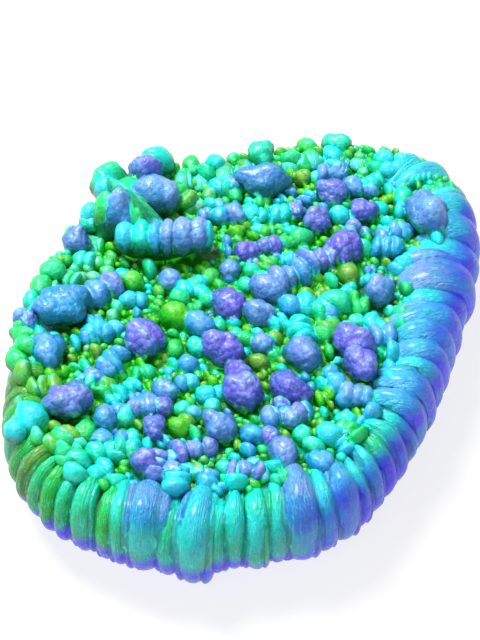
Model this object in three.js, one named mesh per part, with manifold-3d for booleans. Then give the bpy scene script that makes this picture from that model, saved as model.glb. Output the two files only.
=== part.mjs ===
// Fleshy plate coral: one low colony with a pleated rim, a bed of knobs and folds, and a raised fold.
// Units are millimetres, Z is up, the origin is the middle of the flat cut underneath.

import * as THREE from "three";
import { mergeVertices } from "three/addons/utils/BufferGeometryUtils.js";
import Module from "manifold-3d";

const wasm = await Module();
wasm.setup();

// Driving dimensions
const BED_HEIGHT = 20.5; // the floor between the knobs
const CREST_HEIGHT = 25.5; // top of the pleats on the rim
const BELLY_HEIGHT = 12.5; // where the rim reaches furthest out
const CREASE_DEPTH = 3.2; // how far the skin between two pleats lies under their backs
const SHOULDER_DEPTH = 0.7; // the same for the two shoulders of a pleat's back
const SHOULDER_SHARE = 0.21; // how far a shoulder lies from its pleat's middle to the next one's
const CUT_SHARE = 0.68; // size of the flat cut, as a share of the outline
const KNOB_SINK = 0.45; // how high a knob's centre stands over the bed, in knob radii
const KNOB_TALL = 1.05; // height of a knob to its width
const LENS_FILL = 0.73; // half thickness of a stacked lens, in shares of the pitch of its row
const FINE_KNOB = 3.7; // knobs from this radius up have the finer facets
const WELD = 1e-4; // corners closer than this are one corner
const MERGE = 0.25; // facets closer than this to each other are merged

// Pleats of the rim, anticlockwise from the left: foot x, y at the belly, inner end x, y on the bed
const PLEATS = [
  [-57.3, -15.5, -50.5, -15], [-57.6, -20.5, -50, -19], [-57.7, -25.5, -49, -23.5],
  [-57.3, -30.5, -50, -28.5], [-56.2, -36.3, -48.5, -33.5], [-54.4, -41.7, -46, -37.5],
  [-52, -47, -42, -39], [-48.8, -51.3, -40, -41.5], [-45.3, -55.2, -39, -44.5],
  [-41.8, -58, -37, -47], [-36.8, -60.8, -33, -47], [-31.3, -63.2, -29, -50.5],
  [-27.6, -64.8, -26, -51], [-22.3, -66.5, -20.5, -50], [-16.8, -67.6, -14.5, -51],
  [-11.4, -69.6, -8, -50], [-5.8, -67, -4, -51.5], [-1.6, -65.8, -1, -52], [3.8, -66, 3.5, -49],
  [9, -64.2, 8, -47.5], [14.8, -63.6, 12, -46], [20.5, -61, 17, -45], [25.2, -58, 20.5, -43.5],
  [29.2, -54.3, 23.5, -41.5], [32.6, -50, 25, -38.5], [36, -45.3, 26.5, -36],
  [39.2, -40.3, 28, -33], [42.2, -35, 29.5, -30], [45, -29.4, 31, -26.5], [47.6, -23.6, 32.5, -22],
  [49.9, -17.8, 33.5, -17.5], [52, -12, 35, -13], [53.9, -6, 35.5, -8], [55.8, 0, 36, -3],
  [57.8, 6.2, 36.5, 3.5], [60, 13.3, 38.5, 11.5], [62.2, 21.5, 41, 21.5], [62.8, 29.8, 44, 29],
  [62.6, 37.3, 46, 35.5], [60.8, 44.6, 43, 40], [56.5, 51.8, 40.5, 43.5], [50, 56.4, 38.5, 46.5],
  [42.5, 59, 36, 50], [35, 60.3, 31, 51], [27.5, 61.3, 25.5, 51.5], [20.5, 61.2, 19, 52],
  [14, 60, 13.5, 51], [7.5, 59, 7.5, 50], [1, 57.6, 1.5, 49], [-5, 55.6, -4, 47.5],
  [-11, 54, -10.5, 46.5], [-16.5, 53.2, -15.5, 46], [-22, 52.4, -20.5, 45.5], [-27.5, 51, -25, 44],
  [-32, 48, -28.5, 41.5], [-35.7, 43.6, -30.5, 38.5], [-38.6, 38, -32, 34], [-41.3, 31.7, -34.5, 29.5],
  [-45, 25.5, -37.5, 23.5], [-48.4, 19.7, -40.5, 17.5], [-51.2, 13.7, -44, 12],
  [-53.7, 7.6, -46, 6.5], [-55.6, 1.5, -48, 1], [-56.9, -4.3, -49.5, -4], [-57.3, -10, -50, -9.5],
];

// Section of the rim from the cut up over the crest to the bed. Each row has its place inward from
// the foot in millimetres, or in shares of the way to the inner end, its height, and the outward and
// upward parts of its normal.
const RIM_ROWS = [
  { inward: 1.8, z: 6.5, out: 0.8, up: -0.3 },
  { inward: 0, z: BELLY_HEIGHT, out: 1, up: 0 },
  { inward: 1.2, z: 18.5, out: 0.95, up: 0.3 },
  { share: 0.27, z: 23.3, out: 0.7, up: 0.7 },
  { share: 0.6, z: CREST_HEIGHT, out: -0.1, up: 1 },
  { share: 1, z: BED_HEIGHT, out: -0.8, up: 0 },
];

// Knobs of the bed: x, y, radius, all round as they grow
const KNOBS = [
  [-32.5, -6, 2.8], [-46.5, -13, 4.4], [-51.5, -12, 3], [-23, -9.7, 5.2], [-47.5, 12.5, 3.2],
  [-50.5, 6.5, 3], [-52, -5, 3], [-42, 22.5, 3.6], [-41.5, 27.5, 3], [-37.5, 30, 3], [-5.8, 43.3, 2.8],
  [-2.2, 44, 2.8], [5.5, 54.5, 3.8], [-4, 53.5, 2.8], [-13, 51.5, 3], [-1.5, 33.8, 3.3],
  [14.5, 34.6, 3], [20, 30.4, 3.7], [16.5, 52.5, 2.8], [18.5, 58.8, 3], [26, 58.3, 3.8], [26, 49, 3],
  [34, 55, 3], [38.5, 52.5, 3], [24.5, 41, 4], [30, 43.5, 3], [26, 33.2, 2.8], [32, 34.3, 3.6],
  [48.5, 31.5, 5.8], [41.5, 27.5, 3], [-17.5, 10.5, 3], [-12, 8.5, 2.8], [-16, -1.3, 3.6],
  [-10, -4.3, 3.5], [-3, 1.8, 4.2], [4.3, -0.5, 3.9], [7, 7, 4], [26.5, 20.7, 4.8], [-2.5, 14.3, 2.8],
  [12.5, 2.2, 3], [16.5, 2.6, 3], [15.5, -14, 4.5], [-4, -12.5, 4.9], [5.5, -10.2, 2.9],
  [27.5, 12.8, 2.8], [34.5, 6.2, 4.4], [24, 3.2, 3.4], [28, -11, 4.9], [29, -17.5, 4.6],
  [-40.5, -28.5, 5], [-49, -33, 4], [-31.5, -32.5, 3.2], [-21.5, -28.8, 2.9], [-32, -38.8, 2.7],
  [-37.5, -44.3, 2.8], [-21.5, -45.6, 3.9], [-18, -24.3, 3.1], [-18.5, -29.3, 2.7], [-20, -35.5, 3.2],
  [0.5, -25.5, 5], [-0.5, -19.5, 3.7], [11.5, -24.5, 4.5], [7.5, -32.2, 2.7], [12, -32.7, 3],
  [3, -37.3, 2.8], [10, -42.5, 3.6], [-4.5, -35.7, 4.1], [-15, -48.5, 2.9], [2, -46.5, 3],
  [18.5, -45.5, 3], [21, -37.3, 3],
];

// Rows of stacked lenses: first x, y, last x, y, number of lenses, half height of a lens across the row
const LENS_ROWS = [
  [-38.5, 3.5, -32, 9.5, 3, 3.4], [-28.5, -13.5, -37, -23, 4, 3.3], [9.8, 10.4, 23, 18.5, 6, 4],
  [0.5, 20.5, 9.5, 23.5, 4, 2.9], [-14, -42.5, -6.5, -40, 4, 3.2], [15.5, -9, 14, -2.5, 3, 3.2],
  [22, -19.5, 26.5, -28.5, 3, 2.9], [-19.5, 41, -15.5, 36.5, 2, 3.6],
];

// The raised fold and the two widest lumps: x, y, z of the middle, half sizes across, deep and high,
// and the lean back in degrees
const FOLD = [
  [-44, 0.2, 24.5, 7.4, 6, 5.4, 0],
  [6.5, 44, 24, 7.5, 5, 5, 0],
  [-33, 40.5, 27.5, 4.2, 4.4, 6.2, 0],
  [-34.5, 35.5, 26.5, 4, 4.2, 6.4, 0],
  [-31, 28.5, 27.5, 4.6, 4.2, 8.4, -38],
  [-27, 31, 29, 4.4, 5.2, 7, -30],
  [-31, 34.5, 29.5, 4, 4.4, 7, -25],
  [-23.5, 26, 28, 4, 4.2, 5.8, -20],
  [-22.5, 38.5, 25.5, 5.6, 5.6, 5.6, 0],
  [-25.5, 45.5, 27, 4.8, 4.6, 5, 0],
  [-22, 48.5, 25.5, 4.6, 4, 4.6, 0],
  [-20, 23, 23.5, 11.5, 4.2, 5, 0],
];

// The overhanging sausage of the fold: one swelling every few millimetres along it
const SAUSAGE = { from: -28.6, to: -9.8, y: 20, z: 28, swellings: 7, deep: 4.6, high: 4.6 };

/** Closed solid of a geometry whose shared vertices are merged. */
function solidOf(geometry) {
  const bare = geometry.clone();
  bare.deleteAttribute("normal");
  bare.deleteAttribute("uv");
  const merged = mergeVertices(bare, WELD);
  const index = merged.index.array;
  const kept = [];
  for (let i = 0; i < index.length; i += 3) {
    const [a, b, c] = [index[i], index[i + 1], index[i + 2]];
    if (a !== b && b !== c && c !== a) kept.push(a, b, c);
  }
  const vertProperties = new Float32Array(merged.attributes.position.array);
  return new wasm.Manifold(new wasm.Mesh({ numProp: 3, vertProperties, triVerts: new Uint32Array(kept) }));
}

/** The rays of the body: for every pleat its crease to the one before, and its two shoulders. */
function bodyRays() {
  const blend = (p, q, share, depth) => ({
    foot: new THREE.Vector2(p[0], p[1]).lerp(new THREE.Vector2(q[0], q[1]), share),
    inner: new THREE.Vector2(p[2], p[3]).lerp(new THREE.Vector2(q[2], q[3]), share),
    depth,
  });
  return PLEATS.flatMap((pleat, i) => {
    const before = PLEATS.at(i - 1);
    const after = PLEATS[(i + 1) % PLEATS.length];
    return [
      blend(before, pleat, 0.5, CREASE_DEPTH),
      blend(before, pleat, 1 - SHOULDER_SHARE, SHOULDER_DEPTH),
      blend(pleat, after, SHOULDER_SHARE, SHOULDER_DEPTH),
    ];
  });
}

/** The points of one ray, from the middle of the cut, over the rim, to the middle of the bed. */
function rayPoints({ foot, inner, depth }) {
  const reach = foot.distanceTo(inner);
  const out = foot.clone().sub(inner).normalize();
  const rim = RIM_ROWS.map((row) => {
    const inward = (row.inward ?? row.share * reach) + depth * row.out;
    return new THREE.Vector3(foot.x - out.x * inward, foot.y - out.y * inward, row.z - depth * row.up);
  });
  const cut = new THREE.Vector3(foot.x * CUT_SHARE, foot.y * CUT_SHARE, 0);
  return [new THREE.Vector3(0, 0, 0), cut, ...rim, new THREE.Vector3(0, 0, BED_HEIGHT)];
}

/** The plate: a turned form whose every ray has its own points. */
function plateBody() {
  const rays = bodyRays().map(rayPoints);
  const rows = rays[0].length;
  const section = Array.from({ length: rows }, (_, row) => new THREE.Vector2(1, row));
  const body = new THREE.LatheGeometry(section, rays.length);
  const spot = body.attributes.position;
  for (let i = 0; i < spot.count; i++) {
    const point = rays[Math.floor(i / rows) % rays.length][i % rows];
    spot.setXYZ(i, point.x, point.y, point.z);
  }
  return solidOf(body);
}

/** A ball with its own half sizes, leaned back, at its place. */
function swelling(x, y, z, across, deep, high, leanDegrees = 0, turnDegrees = 0) {
  const ball = new THREE.IcosahedronGeometry(1, high < FINE_KNOB ? 0 : 1);
  ball.scale(across, deep, high);
  ball.rotateX(THREE.MathUtils.degToRad(leanDegrees));
  ball.rotateZ(THREE.MathUtils.degToRad(turnDegrees));
  ball.translate(x, y, z);
  return solidOf(ball);
}

/** Every lens of a row, each thin along the row and full across it. */
function lensRow([x0, y0, x1, y1, count, half]) {
  const turn = THREE.MathUtils.radToDeg(Math.atan2(y1 - y0, x1 - x0));
  const pitch = Math.hypot(x1 - x0, y1 - y0) / (count - 1);
  return Array.from({ length: count }, (_, i) => {
    const share = i / (count - 1);
    const x = THREE.MathUtils.lerp(x0, x1, share);
    const y = THREE.MathUtils.lerp(y0, y1, share);
    return swelling(x, y, BED_HEIGHT + half * KNOB_SINK, pitch * LENS_FILL, half, half, 0, turn);
  });
}

/** The swellings of the overhanging sausage. */
function sausage({ from, to, y, z, swellings, deep, high }) {
  const pitch = (to - from) / (swellings - 1);
  return Array.from({ length: swellings }, (_, i) =>
    swelling(from + i * pitch, y, z, pitch * LENS_FILL, deep, high));
}

const knobs = KNOBS.map(([x, y, r]) => swelling(x, y, BED_HEIGHT + r * KNOB_SINK, r, r, r * KNOB_TALL));
const folds = FOLD.map((row) => swelling(...row));
const pieces = [plateBody(), ...knobs, ...LENS_ROWS.flatMap(lensRow), ...folds, ...sausage(SAUSAGE)];
const fused = wasm.Manifold.union(pieces).asOriginal().simplify(MERGE);
const grown = fused.decompose().sort((a, b) => b.volume() - a.volume())[0];

const mesh = grown.getMesh();
const skin = new THREE.BufferGeometry();
skin.setAttribute("position", new THREE.BufferAttribute(mesh.vertProperties, 3));
skin.setIndex(new THREE.BufferAttribute(mesh.triVerts, 1));
const flesh = new THREE.MeshStandardMaterial({ color: 0x5fb6cf, roughness: 0.35, metalness: 0 });
const coral = new THREE.Mesh(skin, flesh);
coral.name = "coral";

const part = new THREE.Group();
part.add(coral);
export default part;
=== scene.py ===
"""A fleshy plate coral: pleated rim, bed of knobs and stacked folds, raised curled fold, on a pale floor.

Lists of places are in millimetres in the coral's own frame: X to the right, Y away from the viewer,
Z up from the flat cut it rests on. Meshes are made in millimetres and shrunk to metres at the end.
"""

from __future__ import annotations

import logging
import math
import random
from dataclasses import dataclass, field
from enum import Enum
from typing import Iterable, Sequence

import bmesh
import bpy
import numpy as np
from mathutils import Matrix, Vector, noise

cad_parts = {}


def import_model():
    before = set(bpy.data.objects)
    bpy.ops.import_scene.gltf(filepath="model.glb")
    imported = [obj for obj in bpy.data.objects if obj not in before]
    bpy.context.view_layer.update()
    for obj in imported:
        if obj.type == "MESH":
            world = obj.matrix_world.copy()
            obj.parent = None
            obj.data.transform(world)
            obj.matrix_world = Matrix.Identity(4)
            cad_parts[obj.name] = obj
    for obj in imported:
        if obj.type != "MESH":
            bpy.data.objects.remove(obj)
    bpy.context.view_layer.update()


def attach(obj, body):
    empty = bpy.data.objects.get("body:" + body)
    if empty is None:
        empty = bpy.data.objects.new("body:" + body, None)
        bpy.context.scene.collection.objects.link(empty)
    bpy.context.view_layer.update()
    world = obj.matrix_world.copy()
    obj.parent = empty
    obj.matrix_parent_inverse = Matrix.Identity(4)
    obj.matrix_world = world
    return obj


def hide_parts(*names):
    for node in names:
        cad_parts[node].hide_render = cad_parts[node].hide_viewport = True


LOG = logging.getLogger("coral")
MM = 0.001
NODE = "coral"

BED_HEIGHT = 20.5
CREST_HEIGHT = 25.5
BELLY_HEIGHT = 12.5
CUT_SHARE = 0.68
KNOB_SINK = 0.45
SEED = 41
TRIANGLE_LIMIT = 190_000
MEND_PASSES = 30

# The marks that the finish reads; a pleat's "along" runs from 0 to ALONG_END, and its "across" starts
# ACROSS_STEP after that of the pleat before it, so that no two have the same streaks
MARKS = ("tone", "rise", "crease", "under", "across", "along", "girth")
ALONG_END = 34.0
ACROSS_STEP = 17.0
BLACK = (0, 0, 0, 1)
WHITE = (1, 1, 1, 1)

Colour = tuple[int, int, int]
Ramp = tuple[tuple[float, Colour], ...]


class Tone(Enum):
    """The colour family of one swelling, as its place on the finish's colour ramps."""

    LIME = 0.04
    OLIVE = 0.17
    GREEN = 0.3
    TEAL = 0.43
    CYAN = 0.56
    BLUE = 0.69
    LAVENDER = 0.82
    PURPLE = 0.96


class Habit(Enum):
    """How the skin of a swelling is shaped."""

    SMOOTH = "smooth"
    LOBED = "lobed"


L, O, G, T = Tone.LIME, Tone.OLIVE, Tone.GREEN, Tone.TEAL
C, B, V, P = Tone.CYAN, Tone.BLUE, Tone.LAVENDER, Tone.PURPLE

# Pleats of the rim, anticlockwise from the left: foot x, y at the belly, inner end x, y on the bed, tone
PLEATS = [
    (-57.3, -15.5, -50.5, -15, T), (-57.6, -20.5, -50, -19, G), (-57.7, -25.5, -49, -23.5, G),
    (-57.3, -30.5, -50, -28.5, T), (-56.2, -36.3, -48.5, -33.5, B), (-54.4, -41.7, -46, -37.5, T),
    (-52, -47, -42, -39, G), (-48.8, -51.3, -40, -41.5, C), (-45.3, -55.2, -39, -44.5, T),
    (-41.8, -58, -37, -47, C), (-36.8, -60.8, -33, -47, C), (-31.3, -63.2, -29, -50.5, T),
    (-27.6, -64.8, -26, -51, C), (-22.3, -66.5, -20.5, -50, V), (-16.8, -67.6, -14.5, -51, C),
    (-11.4, -69.6, -8, -50, B), (-5.8, -67, -4, -51.5, C), (-1.6, -65.8, -1, -52, C),
    (3.8, -66, 3.5, -49, C), (9, -64.2, 8, -47.5, C), (14.8, -63.6, 12, -46, V), (20.5, -61, 17, -45, C),
    (25.2, -58, 20.5, -43.5, B), (29.2, -54.3, 23.5, -41.5, C), (32.6, -50, 25, -38.5, C),
    (36, -45.3, 26.5, -36, T), (39.2, -40.3, 28, -33, C), (42.2, -35, 29.5, -30, C),
    (45, -29.4, 31, -26.5, B), (47.6, -23.6, 32.5, -22, B), (49.9, -17.8, 33.5, -17.5, C),
    (52, -12, 35, -13, B), (53.9, -6, 35.5, -8, B), (55.8, 0, 36, -3, B), (57.8, 6.2, 36.5, 3.5, C),
    (60, 13.3, 38.5, 11.5, V), (62.2, 21.5, 41, 21.5, C), (62.8, 29.8, 44, 29, B),
    (62.6, 37.3, 46, 35.5, B), (60.8, 44.6, 43, 40, C), (56.5, 51.8, 40.5, 43.5, B),
    (50, 56.4, 38.5, 46.5, B), (42.5, 59, 36, 50, T), (35, 60.3, 31, 51, T), (27.5, 61.3, 25.5, 51.5, T),
    (20.5, 61.2, 19, 52, T), (14, 60, 13.5, 51, C), (7.5, 59, 7.5, 50, T), (1, 57.6, 1.5, 49, T),
    (-5, 55.6, -4, 47.5, T), (-11, 54, -10.5, 46.5, C), (-16.5, 53.2, -15.5, 46, T),
    (-22, 52.4, -20.5, 45.5, T), (-27.5, 51, -25, 44, B), (-32, 48, -28.5, 41.5, T),
    (-35.7, 43.6, -30.5, 38.5, C), (-38.6, 38, -32, 34, C), (-41.3, 31.7, -34.5, 29.5, C),
    (-45, 25.5, -37.5, 23.5, T), (-48.4, 19.7, -40.5, 17.5, T), (-51.2, 13.7, -44, 12, T),
    (-53.7, 7.6, -46, 6.5, T), (-55.6, 1.5, -48, 1, B), (-56.9, -4.3, -49.5, -4, P),
    (-57.3, -10, -50, -9.5, T),
]

# Lobed lumps of the bed: x, y, radius, tone
LOBED_KNOBS = [
    (-46.5, -13, 4.4, V), (-23, -9.7, 5.2, P), (24.5, 41, 4, P), (48.5, 31.5, 5.8, V), (-3, 1.8, 4.2, P),
    (4.3, -0.5, 3.9, V), (26.5, 20.7, 4.8, P), (15.5, -14, 4.5, V), (-4, -12.5, 4.9, P),
    (34.5, 6.2, 4.4, V), (28, -11, 4.9, P), (29, -17.5, 4.6, P), (-40.5, -28.5, 5, P),
    (-21.5, -45.6, 3.9, P), (0.5, -25.5, 5, P), (-0.5, -19.5, 3.7, P), (11.5, -24.5, 4.5, P),
    (-4.5, -35.7, 4.1, V), (20, 30.4, 3.7, P), (32, 34.3, 3.6, P), (-20, -35.5, 3.2, P),
    (-42, 22.5, 3.6, P), (-1.5, 33.8, 3.3, V), (12, -32.7, 3, V), (-31.5, -32.5, 3.2, V),
    (14.5, 34.6, 2.9, P), (-18, -24.3, 3.1, V), (5.5, 54.5, 3.8, C), (26, 58.3, 3.8, C),
]

# Smooth lumps of the bed: x, y, radius, tone
SMOOTH_KNOBS = [
    (-27, 10.5, 2.6, L), (-27.5, 4.5, 2.2, B), (-24.8, 4.5, 2.1, B), (-29.5, 12.5, 2, C),
    (-30.5, 2.3, 1.8, T), (-31.5, -0.5, 1.8, G), (-36.5, -6.7, 2.5, B), (-32.8, -6.2, 2.4, B),
    (-30.6, -4.8, 2.2, B), (-51.5, -12, 3, T), (-53.5, -16.5, 2.6, T), (-52.5, -8.5, 2.4, T),
    (-47, 12.5, 3, T), (-49.5, 7.5, 2.8, T), (-51.8, 3.5, 2.4, C), (-54, -1.5, 2.3, P),
    (-42.5, 26.8, 3, T), (-38.5, 30, 2.8, C), (-43, 12, 1.9, G), (-40, 12, 1.8, G), (-37, 12, 1.8, G),
    (-33.5, 14, 1.8, L), (-38.5, 15.5, 1.7, G), (-36, 17.2, 1.7, L), (-33.5, 17, 1.6, L),
    (-42, 15, 1.7, T), (-5.8, 43.3, 2.7, B), (-2.3, 44, 2.7, V), (-1.5, 54.5, 1.8, T),
    (-6.5, 51.5, 2.6, B), (-13, 51.5, 2.4, T), (-9, 43.8, 1.5, O), (-8, 41, 2, G), (-13.5, 36.8, 2, O),
    (-11, 37.2, 2, O), (-7.5, 38, 1.8, C), (-5.5, 37.6, 1.8, V), (-5.3, 32.8, 2.6, B), (3, 33.8, 2.6, C),
    (-1.2, 41, 1.9, T), (10, 34.5, 2.4, B), (16.5, 52.5, 2.6, T), (18.5, 58.8, 2.8, T),
    (25, 54.5, 2.8, B), (26, 49, 3, V), (22.8, 48.8, 2.3, V), (20.5, 47.8, 1.9, B), (32, 54, 1.6, O),
    (33, 49.8, 1.6, O), (38.5, 52.7, 2.8, B), (39.5, 48.8, 2.5, B), (36, 46, 2, B), (43.5, 52, 2.5, B),
    (30, 43.5, 3, V), (33.9, 42.7, 2.5, V), (26, 33.2, 2.8, C), (41.5, 27.5, 2.8, B),
    (37.5, 26.3, 2.5, C), (-17.5, 10.5, 3, V), (-13.7, 8, 2.3, C), (-11, 9, 2.3, T), (-9.6, 7, 2.1, C),
    (-15, 5.2, 2.5, T), (-16, -1.3, 3.6, L), (-10, -4.3, 3.5, B), (-8, 4.7, 2.2, T), (7, 7, 4, V),
    (31.5, 21.8, 2.5, T), (3, 14, 2.2, T), (5.5, 12, 2, T), (-2.5, 14.3, 2.7, V), (-2.8, 12, 1.5, B),
    (1.5, 9.5, 2, T), (-7.5, 12, 2.3, G), (12.5, 2.2, 3, B), (16.5, 2.6, 3, C), (-10.5, -10.7, 2.6, T),
    (-16, -11.3, 2.3, G), (-12.5, -16, 2.3, B), (5.5, -10.2, 2.9, V), (8.5, -8, 2, O), (1.5, -8, 2, G),
    (-1, -6.5, 1.8, T), (4.5, -15.5, 2.3, O), (-1.5, -2.5, 1.8, C), (-5, -3.5, 1.8, T),
    (27.5, 12.8, 2.8, O), (22, 0, 2.4, B), (24, 3.2, 3.4, T), (21, 2.7, 2.4, C), (26.5, -4.3, 1.8, O),
    (32.5, -3, 2.5, C), (34.5, -5, 2.2, C), (29, -2.5, 2, T), (-38, -27.5, 2.2, V), (-49, -33, 4, B),
    (-52.2, -37, 2.8, B), (-27, -31.7, 2.5, C), (-21.5, -28.8, 2.9, V), (-36, -36.2, 2.6, T),
    (-41, -38.8, 3, T), (-32, -38.8, 2.7, V), (-27.5, -38.6, 2.3, V), (-25, -37.5, 2, C),
    (-37.5, -44.3, 2.7, C), (-33, -41.8, 2.5, C), (-29, -42, 2.3, C), (-25, -41.5, 2, T),
    (-18.5, -29.3, 2.7, P), (-13.8, -21.8, 2.1, B), (-11.8, -21.2, 2, B), (-13.5, -29.5, 2, T),
    (-11, -30.5, 2, B), (-8, -25.5, 2.4, C), (-5, -24.5, 2, C), (-6.5, -28.5, 2, T),
    (14.3, -26.8, 2.3, B), (10, -28.5, 2.4, P), (7.5, -32.2, 2.7, V), (15, -30, 2.4, B),
    (3, -37.3, 2.8, B), (7, -37.8, 2.6, P), (10, -42.5, 3.6, V), (-15.5, -43.5, 2.2, V),
    (-15, -48.5, 2.9, V), (-12, -47.2, 2, T), (-9.5, -47.5, 2.1, O), (-3.5, -46.2, 2, T),
    (-1.2, -47.2, 2.1, V), (3.2, -45.8, 2.2, V), (5, -48, 2, V), (1, -46.5, 1.9, V), (18.5, -45.5, 3, B),
    (21, -37.3, 3, C), (25, -33, 2.4, C), (25.2, -37, 2.4, C), (31, -27, 2.2, G), (17, -40, 2.3, T),
    (14.5, -37, 2.2, T),
]

# Rows of stacked lenses: first x, y, last x, y, number of lenses, half height across the row, tone
LENS_ROWS = [
    (-38.5, 3.5, -32.5, 9, 3, 3.7, V), (-28.5, -13.5, -37, -23, 5, 3.6, V),
    (9.6, 10, 23.2, 18.6, 6, 4.2, V), (0.5, 20.5, 9.5, 23.5, 4, 3, P), (12, 24.5, 16, 25.5, 2, 2.6, G),
    (-14, -42.5, -7, -40.2, 4, 3.4, V), (15.5, -9, 14, -2, 4, 3.6, C), (22, -19.5, 25, -26.5, 3, 3, B),
    (-18, 42, -14, 37.5, 3, 3.4, G), (-14.5, 7, -10, 9.6, 3, 2.8, C), (28.5, 33, 36.5, 36, 4, 3, B),
    (-37, -7.5, -31, -4.8, 3, 2.9, B), (-31.5, -32.5, -24.5, -28.5, 3, 3.3, V),
    (20, 0.5, 25.5, 3.6, 3, 3.6, T), (-1, -46.8, 4, -47, 3, 2.9, V), (-33, -41, -25, -40.5, 4, 2.9, C),
    (3.5, 32.8, 12, 34.5, 4, 2.9, C), (22, 48.4, 27, 49.4, 3, 3.1, V), (-40, -24.8, -33, -20, 4, 2.6, B),
    (7.5, -32.5, 14, -31, 3, 3.2, V), (36.5, 25.8, 43, 28.4, 3, 3.1, B),
]

# The raised fold and the two widest lumps: x, y, z of the middle, half sizes across, deep and high, the
# lean back in degrees, tone and habit
FOLD = [
    (-44, 0.2, 24.5, 7.6, 5.8, 5.4, 0, V, Habit.LOBED), (6.5, 44, 24, 7.7, 4.8, 5.2, 0, V, Habit.LOBED),
    (-34, 42.6, 26.6, 4.3, 3.4, 5, 0, T, Habit.SMOOTH),
    (-35.3, 39.8, 26.6, 4, 3.4, 5.6, 0, C, Habit.SMOOTH),
    (-34.2, 36.4, 26.8, 3.4, 3.4, 6, 0, B, Habit.SMOOTH),
    (-38.5, 31.5, 23.5, 3, 3.4, 4.6, 0, B, Habit.SMOOTH),
    (-30.5, 37, 24, 6.5, 7, 5.5, 0, T, Habit.SMOOTH),
    (-31.5, 27.6, 27.2, 4.8, 3.6, 7.6, -22, V, Habit.LOBED),
    (-34, 28.5, 26.4, 3.6, 3.4, 7.2, -22, T, Habit.SMOOTH),
    (-26.2, 27.8, 27, 3.4, 3.6, 6.6, -22, T, Habit.SMOOTH),
    (-22.3, 37.4, 25.8, 6.3, 5.4, 5.7, 0, V, Habit.SMOOTH),
    (-18.6, 36.6, 25.4, 3.2, 4.6, 5.2, 0, V, Habit.SMOOTH),
    (-24.8, 44.9, 26.8, 4.5, 4, 5.2, 0, P, Habit.LOBED),
    (-22, 49.2, 25.4, 4.8, 3.8, 5.2, 0, C, Habit.SMOOTH),
    (-21, 22.4, 23, 11.5, 4.2, 4.4, 0, O, Habit.SMOOTH),
]

# The thin crest along the top of the fold, from its high end
CREST = [(-33.5, 36.5, 29.5), (-31, 33, 31.2), (-26.6, 29.4, 30), (-22, 25.8, 28), (-19, 23, 25)]

# Swellings of the overhanging sausage: x, y, z of the middle, half sizes along, deep and high, tone
SAUSAGE = [
    (-29, 20.8, 27.4, 3, 4, 4, B), (-24.8, 20.2, 27.6, 3, 4.4, 4.6, C),
    (-21.3, 20, 27.9, 2.2, 4.4, 4.5, B), (-18.3, 19.9, 28, 2.5, 4.6, 4.8, V),
    (-14.4, 20.1, 28.3, 3.7, 5, 5.2, V), (-10.6, 20.6, 28.1, 3.1, 4.8, 5, V),
    (-8.4, 21.2, 27.2, 1.9, 4, 4.2, C),
]


def to_linear(red: int, green: int, blue: int) -> tuple[float, float, float, float]:
    """Turn an 8-bit display colour into the linear colour that a shader takes.

    Args:
        red: 0 to 255.
        green: 0 to 255.
        blue: 0 to 255.

    Returns:
        Linear red, green, blue and an alpha of 1.
    """
    def channel(value: int) -> float:
        """Undo the display curve of one channel."""
        share = value / 255
        return share / 12.92 if share <= 0.04045 else ((share + 0.055) / 1.055) ** 2.4

    return channel(red), channel(green), channel(blue), 1.0


def smoothstep(low: float, high: float, value: float) -> float:
    """Rise softly from 0 at low to 1 at high."""
    share = min(1.0, max(0.0, (value - low) / (high - low)))
    return share * share * (3 - 2 * share)


def along_spline(points: Sequence[Vector], share: float) -> tuple[Vector, Vector]:
    """Follow a smooth curve through some points.

    Args:
        points: the points that the curve passes through, in order.
        share: how far along, from 0 to 1.

    Returns:
        The place on the curve and the unit direction there.
    """
    spans = len(points) - 1
    span = min(spans - 1, int(share * spans))
    t = share * spans - span
    p1, p2 = points[span], points[span + 1]
    p0 = points[span - 1] if span > 0 else p1 * 2 - p2
    p3 = points[span + 2] if span + 2 <= spans else p2 * 2 - p1
    a, b, c = p1 * 2, p2 - p0, p0 * 2 - p1 * 5 + p2 * 4 - p3
    d = p3 - p0 + (p1 - p2) * 3
    place = (a + b * t + c * t * t + d * t * t * t) / 2
    way = (b + c * (2 * t) + d * (3 * t * t)) / 2
    return place, way.normalized()


@dataclass
class Form:
    """One closed swelling in millimetres, and the ball that holds it."""

    mesh: bpy.types.Mesh
    centre: Vector
    reach: float


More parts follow.
